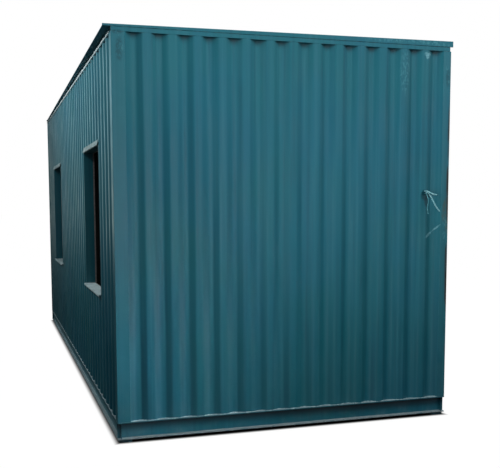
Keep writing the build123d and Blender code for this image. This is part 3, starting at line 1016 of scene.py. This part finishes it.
def make_boards():
    """Lining boards, ceiling boards and floor boards."""
    for wall in ENDS:
        boarded(wall + "_lining_boards", [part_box(wall + "_lining")], X, Y, "board", [wall + "_lining"])
    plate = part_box("window_sills_left")[0].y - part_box("window_frame_left_front")[0].y
    for side in SIDES:
        low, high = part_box(side + "_lining_piers")
        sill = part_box(side + "_lining_under_windows")[1].z
        frames = []
        for frame_low, frame_high in openings_of(side):
            bottom = sill if frame_low.z > DOOR_FOOT else DOOR_FOOT
            frames.append((frame_low.y + plate, frame_high.y - plate, bottom, frame_high.z - plate))
        for part, spans in split(frames, low.y, high.y, low.z, high.z).items():
            node = side + "_lining_" + part
            boxes = [(Vector((low.x, a, z0)), Vector((high.x, b, z1))) for a, b, z0, z1 in spans]
            boarded(node + "_boards", boxes, Y, X, "board", [node])
    boarded("ceiling_boards", [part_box("ceiling_board")], Y, Z, "board", ["ceiling_board"])
    boarded("floor_boards", [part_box("floor_deck")], Y, Z, "deck", ["floor_deck"])


def make_frames():
    """Plain pieces of the base, frame and openings, with rounded edges."""
    for end in ENDS:
        softened("base_channel_" + end, CHANNEL_EDGE)
        softened("top_rail_" + end, RAIL_EDGE, WIDE_STEPS)
        softened("roof_fascia_" + end, CHANNEL_EDGE)
    for side in SIDES:
        softened("base_channel_" + side, CHANNEL_EDGE)
        softened("top_rail_" + side, CHANNEL_EDGE)
        for end in ENDS:
            softened("corner_post_" + end + "_" + side, POST_EDGE, WIDE_STEPS)
            softened("window_frame_" + side + "_" + end, PLATE_EDGE)
        softened("window_sills_" + side, PLATE_EDGE)
    softened("door_frame", PLATE_EDGE)
    softened("foot_plates", FOOT_EDGE)
    softened("floor_joists", BAR_EDGE)
    softened("roof_bows", BAR_EDGE)


def make_drips():
    """Folded drip strips over the windows."""
    for side, x, out in (("left", LEFT_X, -1), ("right", RIGHT_X, 1)):
        shape = bmesh.new()
        for end in ENDS:
            low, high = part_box("window_frame_" + side + "_" + end)
            fold = [shape.verts.new((x + out * d, low.y, high.z + rise)) for d, rise in DRIP_FOLD]
            start = shape.faces.new(fold)
            pulled = bmesh.ops.extrude_face_region(shape, geom=[start])["geom"]
            moved = [v for v in pulled if isinstance(v, bmesh.types.BMVert)]
            bmesh.ops.translate(shape, verts=moved, vec=(0, high.y - low.y, 0))
        bmesh.ops.recalc_face_normals(shape, faces=shape.faces)
        name = "window_drip_strips_" + side
        add_piece(name, mesh_of(shape, name), "flashing", ["window_drips_" + side])


def make_gland():
    """The gland on the front wall, with rounded edges; also gives the middle of its face."""
    low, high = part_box("cable_gland")
    made = softened("cable_gland", GLAND_EDGE, WIDE_STEPS)
    return made, Vector(((low.x + high.x) / 2, low.y, (low.z + high.z) / 2))


def make_tail(name, node, look, face, route, diameter):
    """A cable tail: a smooth curve from the gland's face."""
    curve = bpy.data.curves.new(name, "CURVE")
    curve.dimensions = "3D"
    curve.bevel_depth = diameter / 2
    curve.bevel_resolution = TAIL_ROUND_STEPS
    curve.use_fill_caps = True
    curve.resolution_u = TAIL_STEPS
    spline = curve.splines.new("NURBS")
    spline.points.add(len(route) - 1)
    for point, step in zip(spline.points, route):
        point.co = (*(face + Vector(step)), 1)
    spline.order_u = 3
    spline.use_endpoint_u = True
    curve.materials.append(looks[look])
    tail = bpy.data.objects.new(name, curve)
    scene.collection.objects.link(tail)
    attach(tail, "root")
    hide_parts(node)


def make_cables():
    """The gland and its three tails."""
    gland, face = make_gland()
    for name, (look, diameter, length, route) in TAILS.items():
        make_tail("cable_" + name, "cable_tail_" + name, look, face, route, diameter)


def make_floor():
    """A pale floor with a soft shadow painted round the cabin, which takes no part in its lighting."""
    bpy.ops.mesh.primitive_plane_add(size=FLOOR_SIZE)
    floor = bpy.context.object
    floor.name = "floor"
    look = Look("pale_floor")
    across = look.math("SUBTRACT", look.axis(look.place, "X"), (LEFT_X + RIGHT_X) / 2)
    beyond_x = look.math("SUBTRACT", look.math("ABSOLUTE", across), (RIGHT_X - LEFT_X) / 2)
    beyond_y = look.math("SUBTRACT", look.math("ABSOLUTE", look.axis(look.place, "Y")), BACK_Y)
    # Painted shadow: the floor's glow fades out towards the cabin's plan
    glow = look.ease(look.math("MAXIMUM", beyond_x, beyond_y), *FLOOR_PAINTED_SHADOW, 0.0, PALE)
    look.feed(look.shader.inputs["Emission Color"], WHITE)
    look.feed(look.shader.inputs["Emission Strength"], glow)
    look.shader.inputs["Specular IOR Level"].default_value = 0
    floor.data.materials.append(look.finish(FLOOR_COLOR, 1.0))
    look.material.cycles.emission_sampling = "NONE"
    floor.visible_glossy = False
    floor.visible_diffuse = False


def make_sky():
    """A dim sky for light, a brighter one for the gloss on the paint and a pale backdrop for the camera."""
    world = bpy.data.worlds.new("world")
    scene.world = world
    world.use_nodes = True
    world.cycles.sampling_method = "NONE"
    sky = Nodes(world.node_tree, "Generated")
    ahead = sky.math("MAXIMUM", sky.math("MULTIPLY", sky.axis(sky.place, "Y"), -1.0), 0.0)
    tilt = sky.math("MULTIPLY", sky.axis(sky.place, "X"), -FRONT_GROUND_TILT)
    lift = sky.math("MULTIPLY", ahead, sky.math("ADD", tilt, FRONT_GROUND_RISE))
    height = sky.axis(sky.place, "Z")
    behind = sky.math("MAXIMUM", sky.axis(sky.place, "Y"), 0.0)
    drop = sky.math("MULTIPLY", behind, sky.math("ADD", height, BACK_GROUND_RISE))
    level = sky.math("ADD", sky.math("ADD", height, lift), drop)
    above = sky.ease(level, *HORIZON, GROUND_GLOSS, SKY_GLOSS)
    high = sky.math("MULTIPLY", behind, sky.ease(height, *HIGH_SKY))
    above = sky.math("MULTIPLY", above, sky.math("MULTIPLY_ADD", high, HIGH_SKY_GAIN, 1.0))
    foot = sky.ease(height, *BAND_FOOT, 1.0, BAND_SHARE)
    band = sky.math("MAXIMUM", foot, sky.ease(height, *BAND_TOP, BAND_SHARE, 1.0))
    dimmed = sky.math("MULTIPLY_ADD", behind, sky.math("SUBTRACT", band, 1.0), 1.0)
    above = sky.math("MULTIPLY", above, dimmed)
    glow = REST_GLOW
    for facing, share in GLOWS:
        toward = sky.node("ShaderNodeVectorMath", operation="DOT_PRODUCT")
        sky.feed(toward.inputs[0], sky.place)
        toward.inputs[1].default_value = Vector(facing).normalized()
        glow = sky.math("MAXIMUM", sky.ease(toward.outputs["Value"], *GLOW_REACH, 0.0, share), glow)
    gloss = sky.math("MULTIPLY", above, glow)
    rays = sky.node("ShaderNodeLightPath").outputs
    extra = sky.math("MULTIPLY", sky.math("SUBTRACT", gloss, AMBIENT), rays["Is Glossy Ray"])
    light = sky.tree.nodes["Background"]
    back_tint = sky.mix(sky.ease(height, *HIGH_SKY), HAZE, BACK_SKY)
    sky.feed(light.inputs["Color"], sky.mix(behind, SKY, back_tint))
    sky.feed(light.inputs["Strength"], sky.math("ADD", extra, AMBIENT))
    shown = sky.node("ShaderNodeBackground")
    sky.feed(shown.inputs["Color"], WHITE)
    sky.feed(shown.inputs["Strength"], PALE)
    either = sky.node("ShaderNodeMixShader")
    sky.feed(either.inputs[0], rays["Is Camera Ray"])
    sky.feed(either.inputs[1], light.outputs[0])
    sky.feed(either.inputs[2], shown.outputs[0])
    sky.feed(sky.tree.nodes["World Output"].inputs["Surface"], either.outputs[0])


def make_lights():
    """Soft lights round the cabin; the gloss on the paint comes from the sky alone."""
    scene.view_settings.view_transform = "Standard"
    for name, (place, facing, width, height, watts, spread) in LIGHTS.items():
        data = bpy.data.lights.new(name, "AREA")
        data.shape = "RECTANGLE"
        data.size = width
        data.size_y = height
        data.energy = watts
        data.spread = math.radians(spread)
        light = bpy.data.objects.new(name, data)
        light.location = place
        light.rotation_euler = (Vector(facing) - Vector(place)).to_track_quat("-Z", "Y").to_euler()
        light.visible_glossy = False
        light.visible_camera = False
        scene.collection.objects.link(light)


make_camera()
make_cables()
make_walls()
make_welds()
make_rail_seams()
make_roof()
make_boards()
make_frames()
make_drips()
make_floor()
make_sky()
make_lights()
